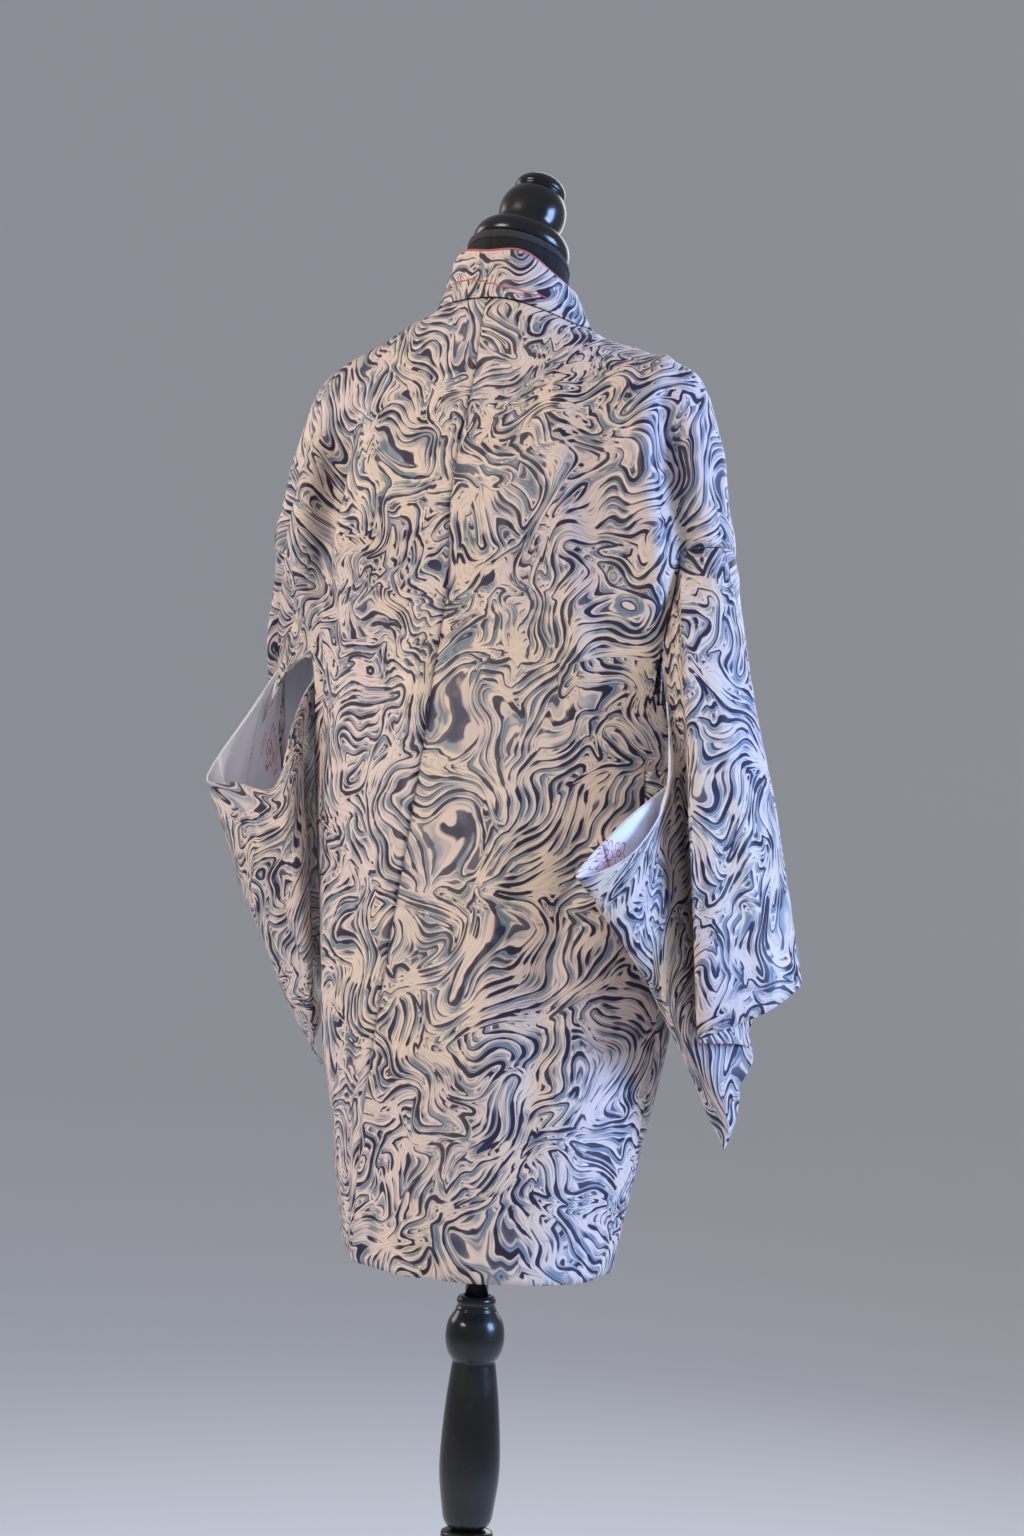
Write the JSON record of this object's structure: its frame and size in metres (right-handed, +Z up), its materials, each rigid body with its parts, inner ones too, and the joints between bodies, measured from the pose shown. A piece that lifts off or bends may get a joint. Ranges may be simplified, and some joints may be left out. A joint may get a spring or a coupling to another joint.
{
  "type": "haori jacket on a limbless dress form",
  "caption": "Hip-length haori jacket of marbled silk with hanging sleeves, worn open on a limbless black dress form with a turned cap, post and curved legs.",
  "frame": {"origin": "centre of the whole object's box, at the floor", "axes": "+X to the wearer's left, +Y to the garment's back, +Z up along the pole"},
  "size_m": [0.5661, 0.5419, 1.5131],
  "materials": {
    "silk": "smooth printed silk, soft sheen",
    "lining": "smooth pale silk lining",
    "black_fabric": "matte black jersey",
    "black_lacquer": "satin black lacquered turned wood"
  },
  "bodies": {
    "root": {"body_left": "silk", "body_right": "silk", "gusset_left": "silk", "gusset_right": "silk", "sleeve_left": "silk", "sleeve_right": "silk", "collar": "silk", "sleeve_lining_left": "lining", "sleeve_lining_right": "lining", "form_torso": "black_fabric", "finial": "black_lacquer", "pole": "black_lacquer", "post": "black_lacquer", "base_column": "black_lacquer", "leg_1": "black_lacquer", "leg_2": "black_lacquer", "leg_3": "black_lacquer", "foot_1": "black_lacquer", "foot_2": "black_lacquer", "foot_3": "black_lacquer"}
  },
  "joints": []
}
